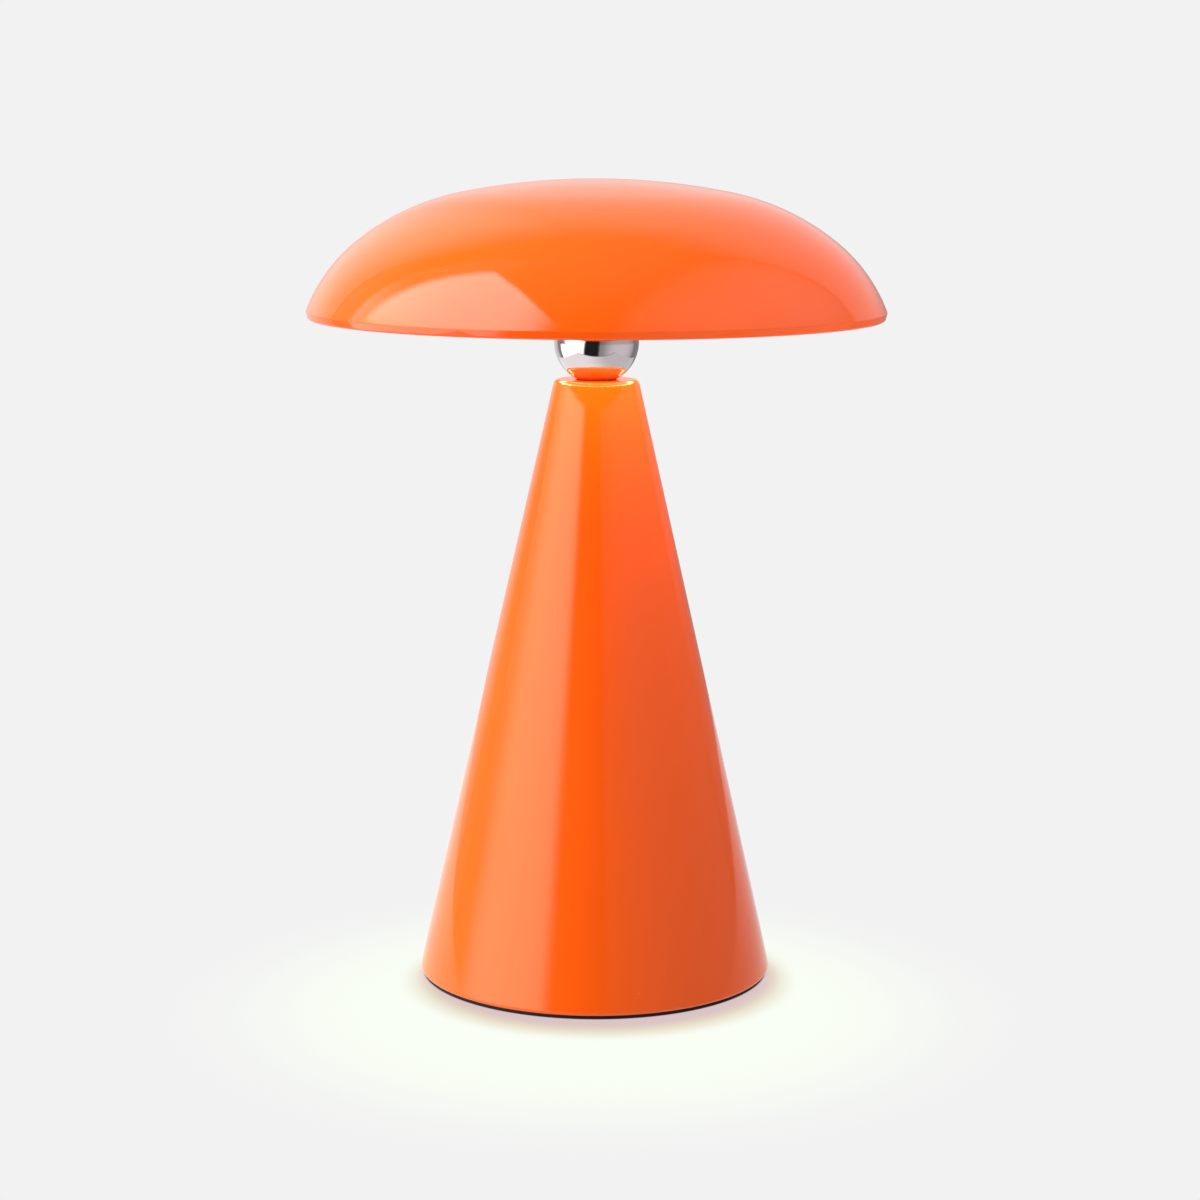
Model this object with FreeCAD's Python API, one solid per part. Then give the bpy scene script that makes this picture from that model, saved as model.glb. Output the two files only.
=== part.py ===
import FreeCAD, Part
import math
import os

from FreeCAD import Placement, Rotation, Vector

# Cordless table lamp. A spun steel shade stands on a chrome ball over a conical body,
# all clamped on one hollow threaded tube. The cone holds ballast, battery and control board.
# Millimetres, Z up. The origin is the middle of the foot, on the table, and -Y is the front.

# Whole lamp
lamp_height = 280.0
shade_diameter = 200.0
shade_height = 47.6
base_diameter = 125.0
neck_diameter = 29.2
ball_diameter = 29.4
ball_flat_diameter = 13.7
foot_thickness = 1.2
foot_inset = 1.1

# Shade shell: three tangent arcs and a rim bent in below them, with angles taken from the vertical
shade_wall = 1.2
crown_angle = 11.2
shoulder_angle = 38.7
shoulder_radius = 84.0
flank_angle = 68.5
rim_bend_radius = 0.7
rim_height = 2.6
rim_lean = 14.0
rim_edge_radius = 1.0
rim_inner_edge_radius = 0.2

# Threaded tube and the pieces that it clamps
tube_diameter = 10.0
tube_bore = 7.0
tube_clearance = 0.2
thread_clearance = 0.05
seat_gap = 0.05
tube_tail = 3.0
tube_grip = 12.0
bush_flange_thickness = 1.0
bush_flange_inset = 0.5
bush_length = 5.0
hub_length = 31.0
hub_boss_diameter = 20.0
hub_flange_diameter = 40.0
hub_flange_thickness = 2.0
hub_fillet = 3.0
hub_window_diameter = 6.4
sleeve_length = 9.0
sleeve_wall = 1.3
ball_edge_radius = 0.3
neck_washer_diameter = 20.0
neck_washer_thickness = 1.5
neck_nut_width = 17.0
neck_nut_height = 5.0

# Light engine under the shade
carrier_margin = 18.0
carrier_thickness = 1.5
carrier_rim_height = 4.0
carrier_bend_radius = 1.5
cover_inset = 1.5
cover_wall = 1.6
cover_depth = 7.0
cover_edge_radius = 3.0
cover_hole_clearance = 1.0
cover_post_count = 3
cover_post_diameter = 7.0
cover_post_inset = 8.0
led_board_gap = 3.0
led_board_width = 32.0
led_board_thickness = 1.6
led_board_screw_inset = 5.0
led_count = 24
led_inset = 16.0
led_length = 3.5
led_width = 2.8
led_height = 0.8
grommet_wall = 1.0
grommet_flange_width = 1.5
grommet_flange_thickness = 1.0

# Conical body and the plate that closes it
cone_wall = 1.2
foot_edge_radius = 1.0
neck_edge_radius = 2.0
inner_corner_radius = 0.5
foot_lip_width = 7.0
plate_thickness = 3.0
plate_clearance = 0.3
tab_count = 3
tab_overlap = 7.7
tab_height = 5.0
tab_angle = 16.0
tab_start_angle = 30.0
ballast_height = 10.0
ballast_gap = 1.5
ballast_bore = 20.0
ballast_edge_radius = 1.5
ballast_screw_count = 3
ballast_screw_circle = 56.0
ballast_screw_depth = 6.0

# Battery: two round cells lying side by side
cell_count = 2
cell_diameter = 18.4
cell_length = 65.0
cell_cap_diameter = 6.0
cell_cap_height = 0.8
cell_edge_radius = 0.8
bay_clearance = 0.3
bay_rib = 1.6
holder_wall = 2.0
holder_floor = 2.0
holder_grip = 3.0
holder_setback = 6.0
holder_screw_spread = 36.0
contact_gap = 2.0
contact_thickness = 0.6
contact_width = 11.0

# Control board, parallel to the back wall: places are across, up and out from a point on the wall
rear_height = 34.0
board_width = 28.0
board_height = 32.0
board_thickness = 1.6
board_corner_radius = 1.5
board_screw_inset = 3.5
board_screw_rise = 6.0
board_screw_drop = 10.0
bracket_post_width = 6.0
bracket_post_depth = 5.0
bracket_post_rise = 10.0
bracket_foot_length = 18.0
bracket_foot_thickness = 2.4
bracket_screw_setback = 12.0
bracket_screw_spread = 14.0
lead_socket_width = 8.0
lead_socket_depth = 5.0
lead_socket_height = 6.0
lead_socket_rise = 9.0
coil_width = 6.0
coil_height = 3.0
chip_width = 4.0
chip_length = 5.0
chip_height = 1.2
component_spread = 3.6
indicator_width = 1.6
indicator_height = 0.6

# Charging inlet, indicator and push button in the back wall
port_drop = 9.0
port_width = 8.94
port_thickness = 3.26
port_length = 10.5
port_wall = 0.3
port_recess = 0.4
port_clearance = 0.15
tongue_width = 6.7
tongue_thickness = 0.7
tongue_setback = 1.2
trim_proud = 0.8
trim_overlap = 1.4
trim_clearance = 0.15
bezel_wall = 1.8
bezel_depth = 4.0
pipe_drop = 1.4
pipe_diameter = 2.2
pipe_clearance = 0.1
pipe_proud = 0.3
button_rise = 9.0
button_diameter = 9.0
button_clearance = 0.25
button_proud = 1.7
button_dome_height = 0.7
button_edge_radius = 0.5
button_travel = 0.8
button_stem_diameter = 4.0
collar_wall = 1.2
collar_depth = 2.6
retainer_width = 1.0
retainer_thickness = 1.0
retainer_gap = 0.2
switch_width = 6.0
switch_height = 3.5
plunger_diameter = 3.4
plunger_length = 2.0
plunger_proud = 1.0
plunger_clearance = 0.15

# Leads, screws and their fits
lead_diameter = 2.6
lead_clearance = 0.4
lead_bend_radius = 6.0
lead_drop_inset = 7.0
lead_drop_bend_radius = 10.0
lead_rise = 22.0
lead_rise_bend_radius = 40.0
lead_gather_height = 120.0
lead_gather_bend_radius = 60.0
battery_lead_height = 8.0
battery_lead_hump = 9.0
battery_lead_run = 6.0
battery_lead_bend_radius = 4.0
large_screw = 4.0
small_screw = 3.0
tiny_screw = 2.5
screw_head_ratio = 0.95
pan_head_ratio = 0.6
screw_clearance = 0.15
screw_tip = 1.0
screw_bite = 5.0

# Levels and radii that follow
shade_radius = shade_diameter / 2
base_radius = base_diameter / 2
neck_radius = neck_diameter / 2
tube_radius = tube_diameter / 2
lead_radius = lead_diameter / 2
rim_bottom = lamp_height - shade_height
rim_bend_height = rim_bottom + rim_height
hub_top = lamp_height - shade_wall - seat_gap
carrier_top = hub_top - hub_length
carrier_bottom = carrier_top - carrier_thickness
ball_height = math.sqrt(ball_diameter ** 2 - ball_flat_diameter ** 2)
ball_top = carrier_bottom - sleeve_length
cone_top = ball_top - ball_height
cone_bottom = foot_thickness
cone_slope = (base_radius - neck_radius) / (cone_top - cone_bottom)
cone_lean = math.atan(cone_slope)
cone_wall_across = cone_wall / math.cos(cone_lean)
tube_bottom = cone_top - cone_wall - neck_washer_thickness - neck_nut_height - tube_tail
tube_top = carrier_top + tube_grip
hub_window_height = tube_top + bush_flange_thickness + lead_bend_radius
sleeve_radius = tube_radius + tube_clearance + sleeve_wall
carrier_radius = shade_radius - carrier_margin
cover_radius = carrier_radius - cover_inset
cover_bottom = carrier_bottom - cover_depth
cover_post_circle = cover_radius - cover_wall - cover_post_inset
led_board_radius = cover_post_circle - cover_post_diameter / 2 - led_board_gap
led_board_bottom = carrier_bottom - led_board_thickness
led_circle = led_board_radius - led_inset
led_board_screw_circle = led_board_radius - led_board_screw_inset
lead_drop_circle = led_board_radius - led_board_width + lead_drop_inset
led_screw_angle = 1.5 * 360 / led_count
cover_post_angle = led_screw_angle + 180 / cover_post_count
lip_radius = base_radius - foot_lip_width
plate_radius = lip_radius - plate_clearance
plate_top = cone_bottom + plate_thickness
tab_inner_radius = plate_radius - tab_overlap
tab_screw_circle = plate_radius - tab_overlap / 2
ballast_radius = tab_inner_radius - ballast_gap
ballast_top = plate_top + ballast_height
cell_radius = cell_diameter / 2
bay_radius = cell_radius + bay_clearance
cell_pitch = 2 * bay_radius + bay_rib
cell_axis_height = ballast_top + holder_floor + bay_radius
bay_length = cell_length + 2 * contact_gap
holder_length = bay_length + 2 * holder_wall
holder_width = (cell_count - 1) * cell_pitch + 2 * bay_radius + 2 * holder_wall
holder_back = holder_width / 2 - holder_setback
board_face = trim_proud - port_recess - port_length
board_back = board_face - board_thickness
switch_face = board_face + switch_height
plunger_tip = switch_face + plunger_proud
retainer_face = -collar_depth - retainer_gap
button_radius = button_diameter / 2
collar_bore = button_radius + button_clearance
collar_radius = collar_bore + collar_wall


def wall_radius(height, outset=0.0):
    """Radius of the cone's outer face at a height, or of a cone that lies outset from it."""
    return base_radius - (height - cone_bottom) * cone_slope + outset / math.cos(cone_lean)


lean_sine = math.sin(cone_lean)
lean_cosine = math.cos(cone_lean)
rear_place = Placement(
    Vector(0, wall_radius(rear_height), rear_height),
    Rotation(Vector(-1, 0, 0), Vector(0, -lean_sine, lean_cosine), Vector(0, lean_cosine, lean_sine)),
)


def rear(shape):
    """Carry a shape drawn across, up and out from the wall to its place at the back of the cone."""
    moved = shape.copy()
    moved.Placement = rear_place.multiply(moved.Placement)
    return moved


def rear_point(across, up, out):
    return rear_place.multVec(Vector(across, up, out))


def shifted(shape, x, y, z):
    moved = shape.copy()
    moved.translate(Vector(x, y, z))
    return moved


def upside_down(shape):
    """The shape turned over about the X axis, so that its head points down or its foot up."""
    moved = shape.copy()
    moved.rotate(Vector(0, 0, 0), Vector(1, 0, 0), 180)
    return moved


def around(shape, count, radius, start_angle=0.0):
    """Copies of a shape spread evenly on a circle about Z, turned to face outwards."""
    copies = []
    for index in range(count):
        copy = shifted(shape, radius, 0, 0)
        copy.rotate(Vector(0, 0, 0), Vector(0, 0, 1), start_angle + index * 360 / count)
        copies.append(copy)
    return copies


def rounded_path(points, radii, closed):
    """Edges along straight runs, with a tangent arc of the given radius at each point."""
    count = len(points)
    edges = []
    starts = list(points)
    ends = list(points)
    arcs = {}
    corners = range(count) if closed else range(1, count - 1)
    for index in corners:
        if radii[index] <= 0:
            continue
        here = points[index]
        inwards = (here - points[index - 1]).normalize()
        outwards = (points[(index + 1) % count] - here).normalize()
        half_turn = inwards.getAngle(outwards) / 2
        reach = radii[index] * math.tan(half_turn)
        to_centre = (outwards - inwards).normalize()
        starts[index] = here - inwards * reach
        ends[index] = here + outwards * reach
        crest = here + to_centre * (radii[index] / math.cos(half_turn) - radii[index])
        arcs[index] = Part.Arc(starts[index], crest, ends[index]).toShape()
    for index in range(count):
        if index in arcs:
            edges.append(arcs[index])
        if closed or index < count - 1:
            following = starts[(index + 1) % count]
            edges.append(Part.LineSegment(ends[index], following).toShape())
    return edges


def turned_edges(edges):
    """Solid of revolution about Z of a closed half section in the XZ plane."""
    solid = Part.Face(Part.Wire(edges)).revolve(Vector(0, 0, 0), Vector(0, 0, 1), 360)
    if solid.Volume < 0:
        solid.reverse()
    return solid


def turned(section):
    """Solid of revolution from (radius, height) or (radius, height, corner radius) points."""
    points = [Vector(corner[0], 0, corner[1]) for corner in section]
    radii = [corner[2] if len(corner) > 2 else 0 for corner in section]
    return turned_edges(rounded_path(points, radii, closed=True))


def ring(outer, inner, bottom, top):
    return turned([(inner, bottom), (outer, bottom), (outer, top), (inner, top)])


def rod(radius, bottom, top):
    return Part.makeCylinder(radius, top - bottom, Vector(0, 0, bottom))


def block(width, depth, bottom, top, corner=0.0):
    """Upright block about the Z axis, with its four upright edges rounded by corner."""
    points = []
    for x, y in ((-1, -1), (1, -1), (1, 1), (-1, 1)):
        points.append(Vector(x * width / 2, y * depth / 2, bottom))
    outline = Part.Wire(rounded_path(points, [corner] * 4, closed=True))
    return Part.Face(outline).extrude(Vector(0, 0, top - bottom))


def slot(width, thickness, bottom, top):
    """Upright prism with straight long sides and half round ends."""
    half = (width - thickness) / 2
    bar = block(2 * half, thickness, bottom, top)
    ends = [shifted(rod(thickness / 2, bottom, top), x, 0, 0) for x in (-half, half)]
    return bar.multiFuse(ends).removeSplitter()


def hexagon(width, bottom, top):
    """Upright hexagonal prism of a width across its flats."""
    reach = width / math.sqrt(3)
    corners = []
    for index in range(7):
        angle = math.radians(60 * index)
        corners.append(Vector(reach * math.cos(angle), reach * math.sin(angle), bottom))
    return Part.Face(Part.makePolygon(corners)).extrude(Vector(0, 0, top - bottom))


def pan_screw(diameter, length):
    """Screw standing on its tip, with a round head above Z zero and a hexagon socket."""
    head = screw_head_ratio * diameter
    rise = pan_head_ratio * diameter
    shank = diameter / 2
    body = turned([
        (0, -length), (shank, -length), (shank, 0), (head, 0), (head, rise, rise / 2), (0, rise)])
    return body.cut(hexagon(shank, rise / 2, rise))


def flat_screw(diameter, length):
    """Countersunk screw, with its head flush at Z zero, its tip above and a hexagon socket."""
    head = screw_head_ratio * diameter
    shank = diameter / 2
    body = turned([(0, 0), (head, 0), (shank, head - shank), (shank, length), (0, length)])
    return body.cut(hexagon(shank, 0, (head - shank) / 2))


def flat_screw_hole(diameter, depth):
    """The countersunk hole that a flat screw passes through, with clearance all round."""
    head = screw_head_ratio * diameter + screw_clearance
    shank = diameter / 2 + screw_clearance
    return turned([(0, 0), (head, 0), (shank, head - shank), (shank, depth), (0, depth)])


def wall_cone(outset):
    """Solid cone that lies outset from the wall's outer face, over the cone's own height."""
    height = cone_top - cone_bottom
    low = wall_radius(cone_bottom, outset)
    high = wall_radius(cone_top, outset)
    return Part.makeCone(low, high, height, Vector(0, 0, cone_bottom))


def wall_trim(flange, body, hollow):
    """Moulded trim in a hole in the wall: a flange that follows the wall, a body and its hollow."""
    outside = wall_cone(trim_proud)
    lip = rear(flange).common(outside).cut(wall_cone(seat_gap))
    plug = rear(body).common(outside)
    return lip.fuse(plug).removeSplitter().cut(rear(hollow))


def dome_arcs():
    """Centre, radius, start and end angle of the shade's outer arcs, from the crown to the rim's bend.

    The crown and flank radii are those that bring the three arcs from the crown to the bend.
    """
    one, two, three = [math.radians(angle) for angle in (crown_angle, shoulder_angle, flank_angle)]
    across_crown = math.sin(one)
    across_flank = math.sin(three) - math.sin(two)
    down_crown = 1 - math.cos(one)
    down_flank = math.cos(two) - math.cos(three)
    across = shade_radius - rim_bend_radius * (1 - math.sin(three))
    across -= shoulder_radius * (math.sin(two) - math.sin(one))
    down = lamp_height - rim_bend_height - rim_bend_radius * math.cos(three)
    down -= shoulder_radius * (math.cos(one) - math.cos(two))
    scale = across_crown * down_flank - across_flank * down_crown
    crown_radius = (across * down_flank - across_flank * down) / scale
    flank_radius = (across_crown * down - across * down_crown) / scale
    arcs = []
    start_angle = 0.0
    place = Vector(0, 0, lamp_height)
    radii = (crown_radius, shoulder_radius, flank_radius, rim_bend_radius)
    for radius, end_angle in zip(radii, (one, two, three, math.radians(90 + rim_lean))):
        centre = place - Vector(math.sin(start_angle), 0, math.cos(start_angle)) * radius
        arcs.append((centre, radius, start_angle, end_angle))
        place = centre + Vector(math.sin(end_angle), 0, math.cos(end_angle)) * radius
        start_angle = end_angle
    return arcs


def section_arc(centre, radius, start_angle, end_angle):
    """Arc in the XZ plane, with angles taken from straight up."""
    points = []
    for angle in (start_angle, (start_angle + end_angle) / 2, end_angle):
        points.append(centre + Vector(math.sin(angle), 0, math.cos(angle)) * radius)
    return Part.Arc(*points).toShape()


def shade_dome():
    """Spun shell of even wall, bent in at the foot of its flank to a straight rim with rounded edges."""
    arcs = dome_arcs()
    outer = [section_arc(*arc) for arc in arcs]
    bend_end = outer[-1].Vertexes[-1].Point
    flank_centre, flank_radius, flank_start = arcs[2][:3]
    rim_angle = arcs[3][3]
    face = Vector(math.sin(rim_angle), 0, math.cos(rim_angle))
    down = Vector(math.cos(rim_angle), 0, -math.sin(rim_angle))
    rim_back = (flank_centre - bend_end).dot(face) + shade_wall
    corner_angle = rim_angle - math.acos(-rim_back / (flank_radius - shade_wall))
    corner = flank_centre + Vector(math.sin(corner_angle), 0, math.cos(corner_angle)) * (flank_radius - shade_wall)
    rim_points = [bend_end]
    for start in (bend_end, corner):
        rim_points.append(start + down * ((start.z - rim_bottom) / -down.z))
    rim_points.append(corner)
    rim = rounded_path(rim_points, [0, rim_edge_radius, rim_inner_edge_radius, 0], closed=False)
    inner = [section_arc(flank_centre, flank_radius - shade_wall, corner_angle, flank_start)]
    for centre, radius, start_angle, end_angle in (arcs[1], arcs[0]):
        inner.append(section_arc(centre, radius - shade_wall, end_angle, start_angle))
    crown = Part.LineSegment(Vector(0, 0, lamp_height - shade_wall), Vector(0, 0, lamp_height)).toShape()
    return turned_edges(outer + rim + inner + [crown])


def shade_hub():
    """Turned hub, its flange dished to the crown's inside, with a window for the lead."""
    crown_centre, crown_radius = dome_arcs()[0][:2]
    seat_radius = crown_radius - shade_wall - seat_gap
    flange = hub_flange_diameter / 2
    boss = hub_boss_diameter / 2
    bore = tube_radius + thread_clearance
    bore_top = hub_window_height + hub_window_diameter / 2
    flange_angle = math.asin(flange / seat_radius)
    seat = section_arc(crown_centre, seat_radius, 0, flange_angle)
    edge_top = crown_centre.z + seat_radius * math.cos(flange_angle)
    edge_bottom = edge_top - hub_flange_thickness
    outline = [
        (flange, edge_top), (flange, edge_bottom), (boss, edge_bottom, hub_fillet), (boss, carrier_top),
        (bore, carrier_top), (bore, bore_top), (0, bore_top), (0, hub_top)]
    points = [Vector(corner[0], 0, corner[1]) for corner in outline]
    radii = [corner[2] if len(corner) > 2 else 0 for corner in outline]
    hub = turned_edges([seat] + rounded_path(points, radii, closed=False))
    window = Part.makeCylinder(
        hub_window_diameter / 2, hub_boss_diameter, Vector(0, 0, hub_window_height), Vector(1, 0, 0))
    return hub.cut(window)


def led_carrier():
    """Pressed pan with an upturned rim, bored for the tube, the lead and the screws."""
    bore = tube_radius + tube_clearance
    inner = carrier_radius - carrier_thickness
    rim_top = carrier_bottom + carrier_rim_height
    outer_bend = carrier_bend_radius + carrier_thickness
    pan = turned([
        (bore, carrier_bottom), (carrier_radius, carrier_bottom, outer_bend), (carrier_radius, rim_top),
        (inner, rim_top), (inner, carrier_top, carrier_bend_radius), (bore, carrier_top)])
    grommet_hole = lead_radius + lead_clearance + grommet_wall + seat_gap
    holes = [shifted(rod(grommet_hole, carrier_bottom, carrier_top), lead_drop_circle, 0, 0)]
    cover_hole = rod(small_screw / 2 + thread_clearance, carrier_bottom, carrier_top)
    holes += around(cover_hole, cover_post_count, cover_post_circle, cover_post_angle)
    board_hole = rod(tiny_screw / 2 + thread_clearance, carrier_bottom, carrier_top)
    holes += around(board_hole, cover_post_count, led_board_screw_circle, led_screw_angle)
    return pan.cut(Part.makeCompound(holes))


def led_board():
    inner = led_board_radius - led_board_width
    board = ring(led_board_radius, inner, led_board_bottom, carrier_bottom)
    hole = rod(tiny_screw / 2 + screw_clearance, led_board_bottom, carrier_bottom)
    holes = around(hole, cover_post_count, led_board_screw_circle, led_screw_angle)
    return board.cut(Part.makeCompound(holes))


def led_chips():
    chip = block(led_width, led_length, led_board_bottom - led_height, led_board_bottom)
    return Part.makeCompound(around(chip, led_count, led_circle))


def led_board_screws():
    length = led_board_thickness + carrier_thickness + screw_tip
    screw = shifted(upside_down(pan_screw(tiny_screw, length)), 0, 0, led_board_bottom)
    return Part.makeCompound(around(screw, cover_post_count, led_board_screw_circle, led_screw_angle))


def light_cover():
    """Opal dish under the lights, with a hole for the sleeve and three screw posts."""
    hole = sleeve_radius + cover_hole_clearance
    floor_top = cover_bottom + cover_wall
    inner = cover_radius - cover_wall
    dish = turned([
        (hole, cover_bottom), (cover_radius, cover_bottom, cover_edge_radius),
        (cover_radius, carrier_bottom), (inner, carrier_bottom),
        (inner, floor_top, cover_edge_radius - cover_wall), (hole, floor_top)])
    post = rod(cover_post_diameter / 2, floor_top, carrier_bottom)
    posts = around(post, cover_post_count, cover_post_circle, cover_post_angle)
    screw_hole = shifted(flat_screw_hole(small_screw, cover_depth), 0, 0, cover_bottom)
    screw_holes = around(screw_hole, cover_post_count, cover_post_circle, cover_post_angle)
    return dish.multiFuse(posts).cut(Part.makeCompound(screw_holes))


def cover_screws():
    length = cover_depth + carrier_thickness + screw_tip
    screw = shifted(flat_screw(small_screw, length), 0, 0, cover_bottom)
    return Part.makeCompound(around(screw, cover_post_count, cover_post_circle, cover_post_angle))


def cable_grommet():
    bore = lead_radius + lead_clearance
    neck = bore + grommet_wall
    flange = neck + grommet_flange_width
    flange_top = carrier_top + grommet_flange_thickness
    bush = turned([
        (bore, carrier_bottom), (neck, carrier_bottom), (neck, carrier_top), (flange, carrier_top),
        (flange, flange_top, grommet_flange_thickness / 2), (bore, flange_top)])
    return shifted(bush, lead_drop_circle, 0, 0)


def threaded_tube():
    return ring(tube_radius, tube_bore / 2, tube_bottom, tube_top)


def tube_bushes():
    """Flanged plastic bushes in both ends of the tube, which keep the lead off its edges."""
    bore = lead_radius + lead_clearance
    spigot = tube_bore / 2 - thread_clearance
    flange = tube_radius - bush_flange_inset
    bush = turned([
        (bore, -bush_length), (spigot, -bush_length), (spigot, 0), (flange, 0),
        (flange, bush_flange_thickness), (bore, bush_flange_thickness)])
    lower = shifted(upside_down(bush), 0, 0, tube_bottom)
    upper = shifted(bush, 0, 0, tube_top)
    return Part.makeCompound([lower, upper])


def chrome_ball():
    """Ball with a flat above and below, bored for the tube."""
    radius = ball_diameter / 2
    flat = ball_flat_diameter / 2
    bore = tube_radius + tube_clearance
    centre = Vector(0, 0, (cone_top + ball_top) / 2)
    bottom_angle = math.pi - math.asin(flat / radius)
    side = section_arc(centre, radius, math.asin(flat / radius), bottom_angle)
    foot = Vector(flat, 0, cone_top)
    head = Vector(flat, 0, ball_top)
    inner = [Vector(bore, 0, cone_top), Vector(bore, 0, ball_top)]
    runs = rounded_path([foot] + inner + [head], [0, ball_edge_radius, ball_edge_radius, 0], closed=False)
    return turned_edges([side] + runs)


def neck_sleeve():
    return ring(sleeve_radius, tube_radius + tube_clearance, ball_top, carrier_bottom)


def neck_washer():
    top = cone_top - cone_wall
    return ring(neck_washer_diameter / 2, tube_radius + tube_clearance, top - neck_washer_thickness, top)


def neck_nut():
    top = cone_top - cone_wall - neck_washer_thickness
    bottom = top - neck_nut_height
    return hexagon(neck_nut_width, bottom, top).cut(rod(tube_radius + thread_clearance, bottom, top))


def cone_body():
    """Spun cone with a flat top and a turned-in foot, cut for the inlet, light pipe and button."""
    hole = tube_radius + tube_clearance
    inner_top = cone_top - cone_wall
    inner_bottom = cone_bottom + cone_wall
    shell = turned([
        (lip_radius, cone_bottom), (base_radius, cone_bottom, foot_edge_radius),
        (neck_radius, cone_top, neck_edge_radius), (hole, cone_top), (hole, inner_top),
        (wall_radius(inner_top) - cone_wall_across, inner_top, inner_corner_radius),
        (wall_radius(inner_bottom) - cone_wall_across, inner_bottom, inner_corner_radius),
        (lip_radius, inner_bottom)])
    reach = bezel_depth
    wide = port_width + 2 * (port_clearance + bezel_wall + trim_clearance)
    tall = port_thickness + 2 * (port_clearance + bezel_wall + trim_clearance)
    inlet = shifted(slot(wide, tall, -reach, reach), 0, -port_drop, 0)
    pipe = shifted(rod(pipe_diameter / 2 + pipe_clearance, -reach, reach), 0, -pipe_drop, 0)
    button = shifted(rod(collar_radius + trim_clearance, -reach, reach), 0, button_rise, 0)
    return shell.cut(Part.makeCompound([rear(inlet), rear(pipe), rear(button)]))


def base_tabs():
    """Tabs welded to the inside of the cone, which the plate is screwed to."""
    top = plate_top + tab_height
    low = wall_radius(plate_top) - cone_wall_across - seat_gap
    high = wall_radius(top) - cone_wall_across - seat_gap
    corners = [(tab_inner_radius, plate_top), (low, plate_top), (high, top), (tab_inner_radius, top)]
    points = [Vector(radius, 0, height) for radius, height in corners]
    section = Part.Face(Part.makePolygon(points + points[:1]))
    tab = section.revolve(Vector(0, 0, 0), Vector(0, 0, 1), tab_angle)
    tab.rotate(Vector(0, 0, 0), Vector(0, 0, 1), -tab_angle / 2)
    hole = rod(small_screw / 2 + thread_clearance, plate_top, top)
    tab = tab.cut(shifted(hole, tab_screw_circle, 0, 0))
    return Part.makeCompound(around(tab, tab_count, 0, tab_start_angle))


def base_plate():
    """Steel disc that closes the cone, countersunk for the tab screws and the ballast screws."""
    plate = rod(plate_radius, cone_bottom, plate_top)
    tab_hole = shifted(flat_screw_hole(small_screw, plate_thickness), 0, 0, cone_bottom)
    ballast_hole = shifted(flat_screw_hole(large_screw, plate_thickness), 0, 0, cone_bottom)
    holes = around(tab_hole, tab_count, tab_screw_circle, tab_start_angle)
    holes += around(ballast_hole, ballast_screw_count, ballast_screw_circle / 2)
    return plate.cut(Part.makeCompound(holes))


def foot_pad():
    return rod(base_radius - foot_inset, 0, foot_thickness)


def plate_screws():
    screw = shifted(flat_screw(small_screw, plate_thickness + tab_height), 0, 0, cone_bottom)
    return Part.makeCompound(around(screw, tab_count, tab_screw_circle, tab_start_angle))


def ballast():
    """Cast disc with rounded edges and a core hole, tapped for all that is screwed to it."""
    bore = ballast_bore / 2
    edge = ballast_edge_radius
    disc = turned([
        (bore, plate_top), (ballast_radius, plate_top, edge), (ballast_radius, ballast_top, edge),
        (bore, ballast_top)])
    plate_tap = rod(large_screw / 2 + thread_clearance, plate_top, plate_top + ballast_screw_depth)
    taps = around(plate_tap, ballast_screw_count, ballast_screw_circle / 2)
    small_tap = rod(small_screw / 2 + thread_clearance, ballast_top - screw_bite, ballast_top)
    for x, y in holder_screw_places() + bracket_screw_places():
        taps.append(shifted(small_tap, x, y, 0))
    return disc.cut(Part.makeCompound(taps))


def ballast_screws():
    screw = shifted(flat_screw(large_screw, plate_thickness + ballast_screw_depth), 0, 0, cone_bottom)
    return Part.makeCompound(around(screw, ballast_screw_count, ballast_screw_circle / 2))


def cell_rows():
    """Distance of each cell's axis from the lamp's axis, towards the back."""
    middle = (cell_count - 1) / 2
    return [(index - middle) * cell_pitch - holder_setback for index in range(cell_count)]


def holder_screw_places():
    return [(side * holder_screw_spread / 2, -holder_setback) for side in (-1, 1)]


def along_x(shape):
    """An upright shape laid along +X."""
    moved = shape.copy()
    moved.rotate(Vector(0, 0, 0), Vector(0, 1, 0), 90)
    return moved


def battery_holder():
    """Moulded tray with a round-bottomed bay for each cell, screwed down between the bays."""
    top = cell_axis_height + holder_grip
    tray = block(holder_length, holder_width, ballast_top, top, holder_wall)
    tray = shifted(tray, 0, -holder_setback, 0)
    bay = along_x(rod(bay_radius, -bay_length / 2, bay_length / 2))
    mouth = block(bay_length, 2 * bay_radius, cell_axis_height, top)
    cuts = []
    for row in cell_rows():
        cuts += [shifted(bay, 0, row, cell_axis_height), shifted(mouth, 0, row, 0)]
    head = screw_head_ratio * small_screw + screw_clearance
    for x, y in holder_screw_places():
        cuts.append(shifted(rod(head, ballast_top + holder_floor, top), x, y, 0))
        cuts.append(shifted(rod(small_screw / 2 + screw_clearance, ballast_top, top), x, y, 0))
    return tray.cut(Part.makeCompound(cuts)).removeSplitter()


def battery_cells():
    edge = cell_edge_radius
    shoulder = cell_length / 2 - cell_cap_height
    cap = cell_cap_diameter / 2
    cell = along_x(turned([
        (0, -cell_length / 2), (cell_radius, -cell_length / 2, edge), (cell_radius, shoulder, edge),
        (cap, shoulder), (cap, cell_length / 2), (0, cell_length / 2)]))
    return Part.makeCompound([shifted(cell, 0, row, cell_axis_height) for row in cell_rows()])


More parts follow.
